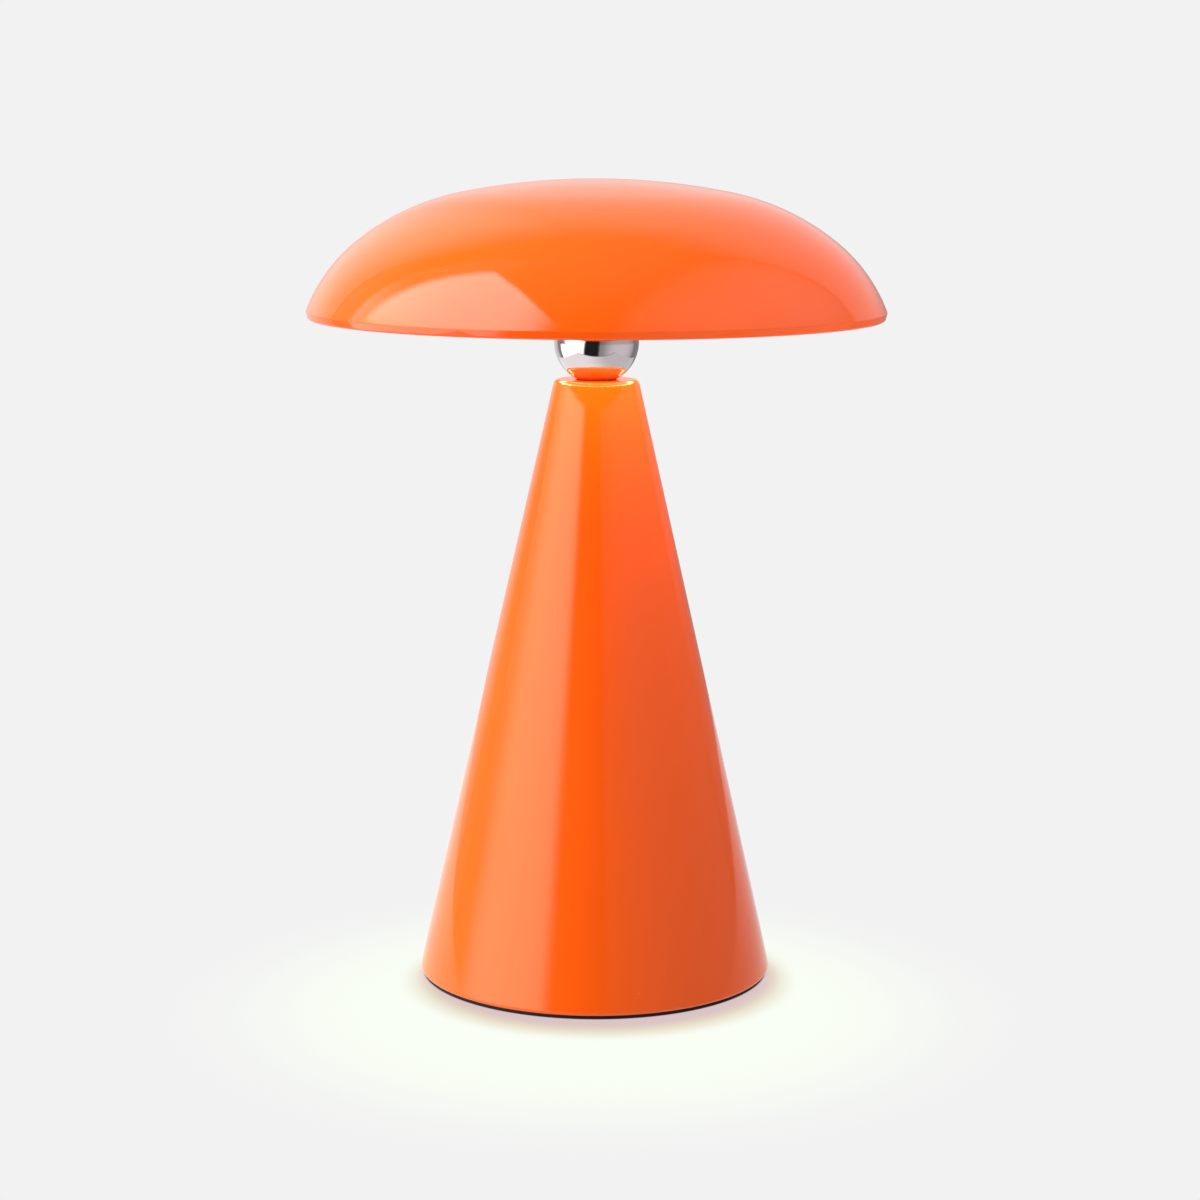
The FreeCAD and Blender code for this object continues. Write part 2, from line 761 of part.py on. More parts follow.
def battery_contacts():
    """Spring plates at both ends of each bay, each with a boss that presses on the cell."""
    outer = bay_length / 2
    inner = outer - contact_thickness
    plate = block(contact_width, contact_width, inner, outer, contact_thickness)
    contact = plate.fuse(rod(cell_cap_diameter / 2, cell_length / 2, inner))
    right = along_x(contact)
    left = right.mirror(Vector(0, 0, 0), Vector(1, 0, 0))
    contacts = []
    for row in cell_rows():
        contacts += [shifted(end, 0, row, cell_axis_height) for end in (left, right)]
    return Part.makeCompound(contacts)


def holder_screws():
    screw = pan_screw(small_screw, holder_floor + screw_bite)
    places = holder_screw_places()
    return Part.makeCompound([shifted(screw, x, y, ballast_top + holder_floor) for x, y in places])


def bracket_end():
    """How far back the board's inner face lies at the height of the bracket foot's top."""
    foot_top = ballast_top + bracket_foot_thickness
    up = (foot_top - rear_height - board_back * lean_sine) / lean_cosine
    return rear_point(0, up, board_back).y


def bracket_screw_places():
    row = bracket_end() - bracket_screw_setback
    return [(side * bracket_screw_spread / 2, row) for side in (-1, 1)]


def board_screw_places():
    across = board_width / 2 - board_screw_inset
    return [(side * across, up) for side in (-1, 1) for up in (board_screw_rise, -board_screw_drop)]


def board_bracket():
    """Foot on the ballast with two leaning posts, which carry the control board."""
    back = board_back - bracket_post_depth
    post = block(bracket_post_width, rear_height + bracket_post_rise, back, board_back)
    post = shifted(post, 0, bracket_post_rise - (rear_height + bracket_post_rise) / 2, 0)
    across = board_width / 2 - board_screw_inset
    posts = [rear(shifted(post, side * across, 0, 0)) for side in (-1, 1)]
    above = block(base_diameter, base_diameter, ballast_top, cone_top)
    posts = [leaning.common(above) for leaning in posts]
    foot_top = ballast_top + bracket_foot_thickness
    foot = block(board_width, bracket_foot_length, ballast_top, foot_top, board_corner_radius)
    foot = shifted(foot, 0, bracket_end() - bracket_foot_length / 2, 0)
    bracket = foot.multiFuse(posts).removeSplitter()
    tap = rod(tiny_screw / 2 + thread_clearance, back, board_back)
    holes = [rear(shifted(tap, x, y, 0)) for x, y in board_screw_places()]
    hole = rod(small_screw / 2 + screw_clearance, ballast_top, foot_top)
    holes += [shifted(hole, x, y, 0) for x, y in bracket_screw_places()]
    return bracket.cut(Part.makeCompound(holes))


def bracket_screws():
    screw = pan_screw(small_screw, bracket_foot_thickness + screw_bite)
    top = ballast_top + bracket_foot_thickness
    return Part.makeCompound([shifted(screw, x, y, top) for x, y in bracket_screw_places()])


def control_board():
    board = block(board_width, board_height, board_back, board_face, board_corner_radius)
    hole = rod(tiny_screw / 2 + screw_clearance, board_back, board_face)
    holes = [shifted(hole, x, y, 0) for x, y in board_screw_places()]
    return rear(board.cut(Part.makeCompound(holes)))


def board_screws():
    screw = pan_screw(tiny_screw, board_thickness + bracket_post_depth)
    return Part.makeCompound([rear(shifted(screw, x, y, board_face)) for x, y in board_screw_places()])


def board_components():
    """Choke and chip on the board's back, and the charge indicator on its face."""
    coil = block(coil_width, coil_width, board_back - coil_height, board_back, coil_width / 4)
    chip = block(chip_width, chip_length, board_back - chip_height, board_back)
    light = block(indicator_width, indicator_width, board_face, board_face + indicator_height)
    placed = [
        shifted(coil, component_spread, 0, 0), shifted(chip, -component_spread, 0, 0),
        shifted(light, 0, -pipe_drop, 0)]
    return Part.makeCompound([rear(component) for component in placed])


def lead_sockets():
    bottom = board_back - lead_socket_depth
    socket = block(lead_socket_width, lead_socket_height, bottom, board_back)
    return Part.makeCompound([rear(shifted(socket, 0, side * lead_socket_rise, 0)) for side in (-1, 1)])


def usb_shell():
    """Drawn metal shell of the charging inlet, open at the wall and closed at the board."""
    mouth = board_face + port_length
    shell = slot(port_width, port_thickness, board_face, mouth)
    hollow = slot(port_width - 2 * port_wall, port_thickness - 2 * port_wall, board_face + port_wall, mouth)
    return rear(shifted(shell.cut(hollow), 0, -port_drop, 0))


def usb_tongue():
    tip = board_face + port_length - tongue_setback
    tongue = block(tongue_width, tongue_thickness, board_face + port_wall, tip)
    return rear(shifted(tongue, 0, -port_drop, 0))


def port_bezel():
    wide = port_width + 2 * port_clearance
    tall = port_thickness + 2 * port_clearance
    grow = 2 * bezel_wall
    edge = 2 * (bezel_wall + trim_clearance + trim_overlap)
    flange = shifted(slot(wide + edge, tall + edge, -bezel_depth, bezel_depth), 0, -port_drop, 0)
    body = shifted(slot(wide + grow, tall + grow, -bezel_depth, bezel_depth), 0, -port_drop, 0)
    hollow = shifted(slot(wide, tall, -bezel_depth, bezel_depth), 0, -port_drop, 0)
    return wall_trim(flange, body, hollow)


def light_pipe():
    start = board_face + indicator_height
    return rear(shifted(rod(pipe_diameter / 2, start, pipe_proud), 0, -pipe_drop, 0))


def button_collar():
    edge = collar_radius + trim_clearance + trim_overlap
    flange = shifted(rod(edge, -collar_depth, collar_depth), 0, button_rise, 0)
    body = shifted(rod(collar_radius, -collar_depth, collar_depth), 0, button_rise, 0)
    hollow = shifted(rod(collar_bore, -collar_depth, collar_depth), 0, button_rise, 0)
    return wall_trim(flange, body, hollow)


def power_button():
    """Button with a low dome, a retaining flange behind the collar and a stem to the switch."""
    retainer = collar_bore + retainer_width
    stem = button_stem_diameter / 2
    retainer_back = retainer_face - retainer_thickness
    dome_radius = (button_radius ** 2 + button_dome_height ** 2) / (2 * button_dome_height)
    dome_centre = Vector(0, 0, button_proud - dome_radius)
    edge_reach = dome_radius - button_edge_radius
    edge_angle = math.asin((button_radius - button_edge_radius) / edge_reach)
    edge_centre = dome_centre + Vector(math.sin(edge_angle), 0, math.cos(edge_angle)) * edge_reach
    dome = section_arc(dome_centre, dome_radius, 0, edge_angle)
    edge = section_arc(edge_centre, button_edge_radius, edge_angle, math.pi / 2)
    corners = [
        (button_radius, edge_centre.z), (button_radius, retainer_face), (retainer, retainer_face),
        (retainer, retainer_back), (stem, retainer_back), (stem, plunger_tip), (0, plunger_tip),
        (0, button_proud)]
    points = [Vector(radius, 0, height) for radius, height in corners]
    body = turned_edges([dome, edge] + rounded_path(points, [0] * len(points), closed=False))
    return rear(shifted(body, 0, button_rise, 0))


def switch_body():
    well = plunger_diameter / 2 + plunger_clearance
    well_bottom = plunger_tip - plunger_length - button_travel - plunger_clearance
    case = block(switch_width, switch_width, board_face, switch_face)
    return rear(shifted(case.cut(rod(well, well_bottom, switch_face)), 0, button_rise, 0))


def switch_plunger():
    plunger = rod(plunger_diameter / 2, plunger_tip - plunger_length, plunger_tip)
    return rear(shifted(plunger, 0, button_rise, 0))


def lead(points, radii):
    """Round lead along straight runs and tangent arcs."""
    path = Part.Wire(rounded_path(points, radii, closed=False))
    outline = Part.makeCircle(lead_radius, points[0], points[1] - points[0])
    solid = path.makePipeShell([Part.Wire(outline)], True, False)
    expected = math.pi * lead_radius ** 2 * path.Length
    print("lead volume over section times length", solid.Volume / expected)
    return solid


def led_lead():
    """From the board's upper socket up the cone, through the tube and hub, down to the LED board."""
    out = board_back - lead_socket_depth / 2
    start = lead_socket_rise + lead_socket_height / 2
    points = [
        rear_point(0, start, out), rear_point(0, start + lead_rise, out), Vector(0, 0, lead_gather_height),
        Vector(0, 0, hub_window_height), Vector(lead_drop_circle, 0, hub_window_height),
        Vector(lead_drop_circle, 0, carrier_bottom)]
    return lead(points, [
        0, lead_rise_bend_radius, lead_gather_bend_radius, lead_bend_radius, lead_drop_bend_radius, 0])


def battery_lead():
    """From the board's lower socket in a slack hump to the back of the battery holder."""
    out = board_back - lead_socket_depth
    start = rear_point(0, -lead_socket_rise, out)
    leave = rear_point(0, -lead_socket_rise, out - battery_lead_run)
    height = ballast_top + battery_lead_height
    end = Vector(0, holder_back, height)
    arrive = Vector(0, holder_back + battery_lead_run, height)
    crest = (leave + arrive) * 0.5
    crest.z = height + battery_lead_hump
    bend = battery_lead_bend_radius
    return lead([start, leave, crest, arrive, end], [0, bend, bend, bend, 0])


makers = (
    shade_dome, shade_hub, led_carrier, led_board, led_chips, led_board_screws, light_cover, cover_screws,
    cable_grommet, threaded_tube, tube_bushes, chrome_ball, neck_sleeve, neck_washer, neck_nut,
    cone_body, base_tabs, base_plate, foot_pad, plate_screws, ballast, ballast_screws,
    battery_holder, battery_cells, battery_contacts, holder_screws, board_bracket, bracket_screws,
    control_board, board_screws, board_components, lead_sockets, usb_shell, usb_tongue, port_bezel,
    light_pipe, button_collar, power_button, switch_body, switch_plunger, led_lead, battery_lead,
)

os.makedirs("parts", exist_ok=True)
for maker in makers:
    shape = maker()
    name = maker.__name__
    shape.exportStep("parts/" + name + ".step")
    print(name, len(shape.Solids), shape.isValid(), round(shape.Volume, 2))
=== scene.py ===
import math

import bpy
import numpy as np
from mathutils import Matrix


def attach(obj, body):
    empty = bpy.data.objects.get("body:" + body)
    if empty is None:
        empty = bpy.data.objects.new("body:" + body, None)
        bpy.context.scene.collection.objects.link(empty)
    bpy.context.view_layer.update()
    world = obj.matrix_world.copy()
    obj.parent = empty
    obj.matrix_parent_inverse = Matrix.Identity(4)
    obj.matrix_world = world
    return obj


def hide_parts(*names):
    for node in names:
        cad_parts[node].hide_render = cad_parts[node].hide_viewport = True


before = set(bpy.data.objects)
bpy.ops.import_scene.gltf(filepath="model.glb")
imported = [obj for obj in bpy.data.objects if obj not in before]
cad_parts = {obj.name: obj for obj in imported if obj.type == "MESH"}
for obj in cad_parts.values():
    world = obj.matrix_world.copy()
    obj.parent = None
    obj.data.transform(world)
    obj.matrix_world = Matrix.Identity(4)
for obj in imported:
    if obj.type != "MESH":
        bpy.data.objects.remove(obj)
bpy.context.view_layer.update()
bpy.context.scene.view_settings.view_transform = "Standard"


# Foot pad
# A disc of black foam rubber, 1.2 mm thick, die-cut and glued under the plate that closes the
# cone. It is drawn in a little from the cone's edge, so only a thin black line of it shows.

def rounded_section(corners, parts=10):
    """Rows (radius, height) along straight runs, with each corner (radius, height, bend) turned on an arc.

    The arc leaves the first run bend * tan(half the turn) before the corner and is cut in equal angles.
    """
    spots = np.array([corner[:2] for corner in corners], float)
    rows = [spots[:1]]
    for here, before, after, corner in zip(spots[1:-1], spots[:-2], spots[2:], corners[1:-1]):
        bend = corner[2] if len(corner) > 2 else 0.0
        inwards = (here - before) / np.linalg.norm(here - before)
        outwards = (after - here) / np.linalg.norm(after - here)
        turn = math.atan2(inwards[0] * outwards[1] - inwards[1] * outwards[0], inwards @ outwards)
        side = math.copysign(1.0, turn) * np.array((-inwards[1], inwards[0]))
        start = here - inwards * bend * math.tan(abs(turn) / 2)
        sweep = np.linspace(0, abs(turn), parts + 1 if bend else 1)[:, None]
        rows.append(start + bend * (np.sin(sweep) * inwards + (1 - np.cos(sweep)) * side))
    return np.concatenate(rows + [spots[-1:]])


def turned_surface(name, section, steps=256):
    """Surface of revolution: point (i, j) is row i's (radius, height) in mm, turned j of steps parts about Z.

    The outside lies on the left of the section's run. A row on the axis closes to one point, and a
    section that ends where it began closes to a ring.
    """
    radius, height = np.asarray(section, float).T / 1000
    angle = np.linspace(0, 2 * np.pi, steps, endpoint=False)
    across, back = np.outer(radius, np.cos(angle)), np.outer(radius, np.sin(angle))
    points = np.stack((across, back, np.outer(height, np.ones(steps))), -1)
    index = np.arange(points.size // 3).reshape(len(radius), steps)
    on_axis = radius < 1e-7
    index[on_axis] = index[on_axis, :1]
    if np.allclose(section[0], section[-1]):
        index[-1] = index[0]
    used, index = np.unique(index, return_inverse=True)
    index = index.reshape(len(radius), steps)
    upper, lower = index[:-1], index[1:]
    quads = np.stack((upper, lower, np.roll(lower, -1, 1), np.roll(upper, -1, 1)), -1).reshape(-1, 4)
    head, tail = quads[:, 0] == quads[:, 3], quads[:, 1] == quads[:, 2]
    whole = ~(head | tail)
    faces = quads[whole].tolist() + quads[head][:, :3].tolist() + quads[tail][:, [0, 1, 3]].tolist()
    mesh = bpy.data.meshes.new(name)
    mesh.from_pydata(points.reshape(-1, 3)[used].tolist(), [], faces)
    mesh.polygons.foreach_set("use_smooth", np.ones(len(faces), bool))
    mesh.set_sharp_from_angle(angle=math.radians(35))
    piece = bpy.data.objects.new(name, mesh)
    bpy.context.scene.collection.objects.link(piece)
    return piece


def add(tree, kind, inputs, **settings):
    """A shader node with its settings, each input given as a value or as the socket that feeds it."""
    node = tree.nodes.new("ShaderNode" + kind)
    for name, value in settings.items():
        setattr(node, name, value)
    for name, value in inputs.items():
        if isinstance(value, bpy.types.NodeSocket):
            tree.links.new(value, node.inputs[name])
        else:
            node.inputs[name].default_value = value
    return node


def calc(tree, operation, *values):
    """The result of a Math node on values or sockets."""
    return add(tree, "Math", dict(enumerate(values)), operation=operation).outputs[0]


def ramp(tree, value, low, high, to_low=0.0, to_high=1.0):
    """A value carried smoothly from low..high to to_low..to_high, and held at the ends."""
    inputs = {0: value, 1: low, 2: high, 3: to_low, 4: to_high}
    return add(tree, "MapRange", inputs, interpolation_type="SMOOTHSTEP").outputs[0]


def mixed(tree, mask, first, second):
    """The first colour where the mask is 0 and the second where it is 1."""
    return add(tree, "Mix", {0: mask, 6: first, 7: second}, data_type="RGBA").outputs[2]


def effect(name, inputs, outputs):
    """An empty node group with named sockets: its tree, its input sockets and its output sockets."""
    tree = bpy.data.node_groups.new(name, "ShaderNodeTree")
    for socket, value in inputs.items():
        kind = "NodeSocketVector" if value is None else "NodeSocketFloat"
        made = tree.interface.new_socket(socket, in_out="INPUT", socket_type=kind)
        if value is not None:
            made.default_value = value
    for socket in outputs:
        tree.interface.new_socket(socket, in_out="OUTPUT", socket_type="NodeSocketFloat")
    return tree, tree.nodes.new("NodeGroupInput").outputs, tree.nodes.new("NodeGroupOutput").inputs


def new_finish(name, **constant):
    """A material, its tree, its Principled shader with the constant values set, and Object coordinates."""
    material = bpy.data.materials.new(name)
    material.use_nodes = True
    tree = material.node_tree
    shader = tree.nodes["Principled BSDF"]
    for socket, value in constant.items():
        shader.inputs[socket.replace("_", " ")].default_value = value
    return material, tree, shader, add(tree, "TexCoord", {}).outputs["Object"]


def feed(tree, shader, height=None, depth=0.0, **sockets):
    """Links sockets into the shader by name, and a height as a bump of a depth in metres."""
    for name, socket in sockets.items():
        tree.links.new(socket, shader.inputs[name.replace("_", " ")])
    if height is not None:
        bump = add(tree, "Bump", {"Height": height, "Strength": 1.0, "Distance": depth})
        tree.links.new(bump.outputs[0], shader.inputs["Normal"])


def grain_effect():
    """Skin of foam or of a spark-eroded mould: cells of a size, with a finer noise on them."""
    tree, given, made = effect("moulded_grain", {"Vector": None, "Size": 0.0004}, ("Height", "Tone"))
    scale = calc(tree, "DIVIDE", 1.0, given["Size"])
    cells = add(tree, "TexVoronoi", {"Vector": given["Vector"], "Scale": scale}, feature="SMOOTH_F1")
    fine = add(tree, "TexNoise", {"Vector": given["Vector"], "Scale": scale, "Detail": 3.0}).outputs[0]
    broad = add(tree, "TexNoise", {"Vector": given["Vector"], "Scale": 60.0, "Detail": 4.0}).outputs[0]
    tree.links.new(calc(tree, "MULTIPLY_ADD", cells.outputs["Distance"], 0.6, fine), made["Height"])
    tree.links.new(calc(tree, "MULTIPLY_ADD", fine, 0.6, calc(tree, "MULTIPLY", broad, 0.4)), made["Tone"])
    return tree


def moulded_finish(name, cell, depth, dark, light, tones, roughness, **constant):
    """A material with the moulded grain, its cells and depth in metres.

    The colour goes from dark to light with the grain's tone, and the roughness from its first value to
    its second over the range of tones.
    """
    material, tree, shader, coords = new_finish(name, **constant)
    grain = add(tree, "Group", {"Vector": coords, "Size": cell}, node_tree=moulded_grain).outputs
    feed(tree, shader, grain["Height"], depth,
         Base_Color=mixed(tree, grain["Tone"], dark, light),
         Roughness=ramp(tree, grain["Tone"], *tones, *roughness))
    return material


def dress(material, *names):
    """Puts a material on carried-over solids."""
    for name in names:
        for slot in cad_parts[name].material_slots:
            slot.material = material


moulded_grain = grain_effect()
foot_radius, foot_thickness, foot_edge = 61.4, 1.2, 0.25
foot = turned_surface("foot", rounded_section([
    (0, foot_thickness), (foot_radius, foot_thickness, foot_edge), (foot_radius, 0, foot_edge), (0, 0)]))
foam = moulded_finish(
    "black_foam_rubber", cell=0.0007, depth=0.00012, dark=(0.003, 0.003, 0.0032, 1),
    light=(0.012, 0.011, 0.011, 1), tones=(0.2, 0.8), roughness=(0.65, 0.95), Specular_IOR_Level=0.2)
foot.data.materials.append(foam)
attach(foot, "lamp")
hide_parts("foot_pad")


# Base plate, its tabs and all the screws, nuts and contacts
# Pressed and turned steel, zinc plated bright: the plate that closes the cone, the tabs it is
# screwed to, the threaded tube with its nut and washer, the shade's hub and every fastener.

def plating_effect():
    """Rolled or turned metal: streaks drawn out along X on a cloudy plating."""
    tree, given, made = effect("plated_metal", {"Vector": None, "Streak": 3000.0}, ("Height", "Tone"))
    drawn = add(tree, "Mapping", {"Vector": given["Vector"], "Scale": (0.03, 1.0, 1.0)}).outputs[0]
    streaks = add(tree, "TexNoise", {"Vector": drawn, "Scale": given["Streak"], "Detail": 4.0}).outputs[0]
    cloud = add(tree, "TexNoise", {"Vector": given["Vector"], "Scale": 220.0, "Detail": 5.0}).outputs[0]
    tree.links.new(streaks, made["Height"])
    tree.links.new(calc(tree, "MULTIPLY_ADD", streaks, 0.5, calc(tree, "MULTIPLY", cloud, 0.5)), made["Tone"])
    return tree


def plated_finish(name, streak, depth, dark, light, roughness, tones=(0.3, 0.7)):
    """A bare metal with the plating's streaks, about streak of them to the metre and depth metres deep.

    The colour goes from dark to light with the plating's tone, and the roughness from its first value
    to its second over the range of tones.
    """
    material, tree, shader, coords = new_finish(name, Metallic=1.0)
    plate = add(tree, "Group", {"Vector": coords, "Streak": streak}, node_tree=plated_metal).outputs
    feed(tree, shader, plate["Height"], depth,
         Base_Color=mixed(tree, plate["Tone"], dark, light),
         Roughness=ramp(tree, plate["Tone"], *tones, *roughness))
    return material


plated_metal = plating_effect()
zinc = plated_finish(
    "bright_zinc_plate", streak=2500.0, depth=0.000004, dark=(0.42, 0.43, 0.46, 1),
    light=(0.66, 0.66, 0.64, 1), roughness=(0.22, 0.42))
dress(zinc, "base_plate", "base_tabs", "plate_screws", "ballast_screws", "holder_screws", "bracket_screws",
      "board_screws", "battery_contacts", "threaded_tube", "neck_washer", "neck_nut", "shade_hub",
      "led_board_screws", "cover_screws")


# Ballast
# A grey iron disc, sand cast and left as cast, screwed on top of the plate so that the tall cone
# stands steady under the wide shade.
iron = moulded_finish(
    "cast_iron", cell=0.0011, depth=0.0003, dark=(0.05, 0.048, 0.047, 1),
    light=(0.2, 0.19, 0.185, 1), tones=(0.25, 0.75), roughness=(0.5, 0.8), Metallic=1.0)
dress(iron, "ballast")


# Battery
# Two round cells in shrink wrap lie side by side in a black moulded tray, with spring plates at
# their ends. A white sheathed lead carries the current, and a longer one runs up to the lights.
wrap_end, bare_start = 0.0312, 0.0318
bare_can = (0.6, 0.59, 0.57, 1)
wrap, tree, shader, coords = new_finish("cell_wrap")
from_middle = calc(tree, "ABSOLUTE", add(tree, "SeparateXYZ", {0: coords}).outputs["X"])
bare = ramp(tree, from_middle, wrap_end, bare_start)
grain = add(tree, "Group", {"Vector": coords, "Size": 0.003}, node_tree=moulded_grain).outputs
blue = mixed(tree, grain["Tone"], (0.012, 0.06, 0.21, 1), (0.03, 0.11, 0.34, 1))
feed(tree, shader, grain["Height"], depth=0.00002, Base_Color=mixed(tree, bare, blue, bare_can),
     Metallic=bare, Roughness=ramp(tree, grain["Tone"], 0.3, 0.7, 0.22, 0.34))
dress(wrap, "battery_cells")

sheath = moulded_finish(
    "white_lead_sheath", cell=0.0006, depth=0.00003, dark=(0.6, 0.59, 0.56, 1),
    light=(0.78, 0.78, 0.76, 1), tones=(0.2, 0.8), roughness=(0.4, 0.6))
dress(sheath, "led_lead", "battery_lead")

black_plastic = moulded_finish(
    "black_moulded_plastic", cell=0.00022, depth=0.00002, dark=(0.011, 0.011, 0.012, 1),
    light=(0.03, 0.03, 0.031, 1), tones=(0.25, 0.75), roughness=(0.36, 0.54))
dress(black_plastic, "battery_holder", "board_bracket", "port_bezel", "button_collar", "switch_body",
      "tube_bushes", "cable_grommet")


# Control board
# Glass-fibre board under green solder mask, with copper runs that show through it. It leans
# parallel to the cone's back wall on a moulded bracket and carries a choke, a chip and two sockets.
white, black, masked_copper = (1, 1, 1, 1), (0, 0, 0, 1), (0.05, 0.3, 0.09, 1)
mask_green, tree, shader, coords = new_finish("green_solder_mask")
runs = add(tree, "TexBrick", {
    "Vector": coords, "Color1": white, "Color2": white, "Mortar": black, "Scale": 260.0,
    "Mortar Size": 0.06}).outputs["Fac"]
grain = add(tree, "Group", {"Vector": coords, "Size": 0.0005}, node_tree=moulded_grain).outputs
green = mixed(tree, grain["Tone"], (0.012, 0.11, 0.035, 1), (0.025, 0.17, 0.055, 1))
feed(tree, shader, runs, depth=0.00003, Base_Color=mixed(tree, runs, green, masked_copper),
     Roughness=ramp(tree, grain["Tone"], 0.2, 0.8, 0.28, 0.42))
dress(mask_green, "control_board")

epoxy = moulded_finish(
    "moulded_component", cell=0.0003, depth=0.00003, dark=(0.02, 0.02, 0.021, 1),
    light=(0.075, 0.073, 0.07, 1), tones=(0.2, 0.8), roughness=(0.45, 0.7))
dress(epoxy, "board_components", "lead_sockets")


# Conical body
# Spun steel, tapered from a 125 mm foot to a 29 mm neck, its edges rolled round. It is sprayed
# orange and clear-coated to a deep gloss, with the faint orange peel and dust of a sprayed coat.

def lacquer_effect():
    """Sprayed lacquer: millimetre waves of orange peel, a cloudy tone, and rare specks of dust."""
    tree, given, made = effect("sprayed_lacquer", {"Vector": None}, ("Peel", "Tone", "Dust"))
    peel = add(tree, "TexNoise", {"Vector": given["Vector"], "Scale": 650.0, "Detail": 1.5}).outputs[0]
    tone = add(tree, "TexNoise", {"Vector": given["Vector"], "Scale": 26.0, "Detail": 3.0}).outputs[0]
    specks = add(tree, "TexVoronoi", {"Vector": given["Vector"], "Scale": 95.0}, feature="F1")
    tree.links.new(peel, made["Peel"])
    tree.links.new(tone, made["Tone"])
    tree.links.new(ramp(tree, specks.outputs["Distance"], 0.012, 0.028, 1.0, 0.0), made["Dust"])
    return tree


sprayed_lacquer = lacquer_effect()
peel_depth, dust_cover, dust_colour = 0.000012, 0.35, (0.9, 0.45, 0.25, 1)
orange, tree, shader, coords = new_finish("orange_lacquer", IOR=1.42)
skin = add(tree, "Group", {"Vector": coords}, node_tree=sprayed_lacquer).outputs
coat = mixed(tree, skin["Tone"], (0.86, 0.09, 0.004, 1), (0.875, 0.098, 0.0048, 1))
dusty = calc(tree, "MULTIPLY", skin["Dust"], dust_cover)
feed(tree, shader, skin["Peel"], peel_depth, Base_Color=mixed(tree, dusty, coat, dust_colour),
     Roughness=ramp(tree, skin["Tone"], 0.3, 0.7, 0.055, 0.08))
dress(orange, "cone_body")


# Charging inlet and charge light
# A drawn nickel shell with its tongue sits in a black moulded bezel in the back wall. Above it
# the end of a clear moulded pipe shows the charge light of the board.
nickel = plated_finish(
    "drawn_nickel", streak=6000.0, depth=0.000003, dark=(0.5, 0.49, 0.47, 1),
    light=(0.68, 0.67, 0.64, 1), roughness=(0.18, 0.32))
dress(nickel, "usb_shell")

contact_pitch, plastic_to, gold_from = 0.0005, 0.28, 0.34
contact_gold = (0.83, 0.6, 0.22, 1)
tongue, tree, shader, coords = new_finish("tongue_with_contacts")
across = add(tree, "SeparateXYZ", {0: coords}).outputs["X"]
stripe = calc(tree, "PINGPONG", across, contact_pitch / 2)
gold = ramp(tree, stripe, contact_pitch * plastic_to, contact_pitch * gold_from)
grain = add(tree, "Group", {"Vector": coords, "Size": 0.0002}, node_tree=moulded_grain).outputs
body = mixed(tree, grain["Tone"], (0.015, 0.015, 0.016, 1), (0.035, 0.035, 0.036, 1))
feed(tree, shader, gold, depth=0.00003, Base_Color=mixed(tree, gold, body, contact_gold), Metallic=gold,
     Roughness=ramp(tree, grain["Tone"], 0.2, 0.8, 0.25, 0.45))
dress(tongue, "usb_tongue")

clear = moulded_finish(
    "clear_light_pipe", cell=0.0004, depth=0.000004, dark=(0.88, 0.92, 0.94, 1),
    light=(0.96, 0.98, 0.98, 1), tones=(0.2, 0.8), roughness=(0.06, 0.16), IOR=1.58, Transmission_Weight=1.0)
dress(clear, "light_pipe")


# Push button
# A satin black moulded button with a low dome, held behind a black collar. It presses 0.8 mm
# straight into the wall, on the plunger of a small switch on the board.
satin = moulded_finish(
    "satin_button_plastic", cell=0.00016, depth=0.000012, dark=(0.02, 0.02, 0.022, 1),
    light=(0.045, 0.045, 0.048, 1), tones=(0.25, 0.75), roughness=(0.24, 0.36))
dress(satin, "power_button", "switch_plunger")


# Neck ball and sleeve
# A brass ball, polished and chrome plated, clamped on the threaded tube between the cone and a
# chrome sleeve. It is the bright joint that the shade seems to rest on.
ball_height, ball_diameter, flat_diameter, bore_radius, bore_edge = 26.0127, 29.4, 13.7, 5.2, 0.3
cone_top = 211.2373
chrome, tree, shader, coords = new_finish("polished_chrome", Metallic=1.0)
haze = add(tree, "TexNoise", {"Vector": coords, "Scale": 140.0, "Detail": 5.0}).outputs[0]
# The chrome's faint pink is a painted reflection of the orange lacquer round it; the haze varies it and the
# roughness.
feed(tree, shader, Base_Color=mixed(tree, haze, (0.63, 0.555, 0.575, 1), (0.68, 0.6, 0.62, 1)),
     Roughness=ramp(tree, haze, 0.35, 0.75, 0.02, 0.07))
# Its section runs down the circle from the upper flat to the lower one, and back up through the bore.
ball_parts, ball_steps, edge_parts = 96, 192, 4
ball_middle, ball_top = cone_top + ball_height / 2, cone_top + ball_height
lean = math.asin(flat_diameter / ball_diameter)
sweep = np.linspace(lean, math.pi - lean, ball_parts + 1)
ball_rows = np.stack((np.sin(sweep), np.cos(sweep)), -1) * ball_diameter / 2 + (0, ball_middle)
bore_rows = rounded_section(
    [ball_rows[-1], (bore_radius, cone_top, bore_edge), (bore_radius, ball_top, bore_edge), ball_rows[0]],
    edge_parts)
ball = turned_surface("ball", np.concatenate((ball_rows, bore_rows[1:])), ball_steps)
ball.data.materials.append(chrome)
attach(ball, "lamp")
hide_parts("chrome_ball")
dress(chrome, "neck_sleeve")


# Light pan and LED board
# A pressed aluminium pan under the shade carries a ring of white board with 24 warm LEDs. The
# lead comes down to it through a rubber grommet.
aluminium = plated_finish(
    "pressed_aluminium", streak=1800.0, depth=0.000006, dark=(0.66, 0.67, 0.68, 1),
    light=(0.82, 0.82, 0.83, 1), roughness=(0.3, 0.5))
dress(aluminium, "led_carrier")

white_board = moulded_finish(
    "white_solder_mask", cell=0.0008, depth=0.00002, dark=(0.74, 0.74, 0.71, 1),
    light=(0.86, 0.86, 0.84, 1), tones=(0.2, 0.8), roughness=(0.35, 0.5))
dress(white_board, "led_board")

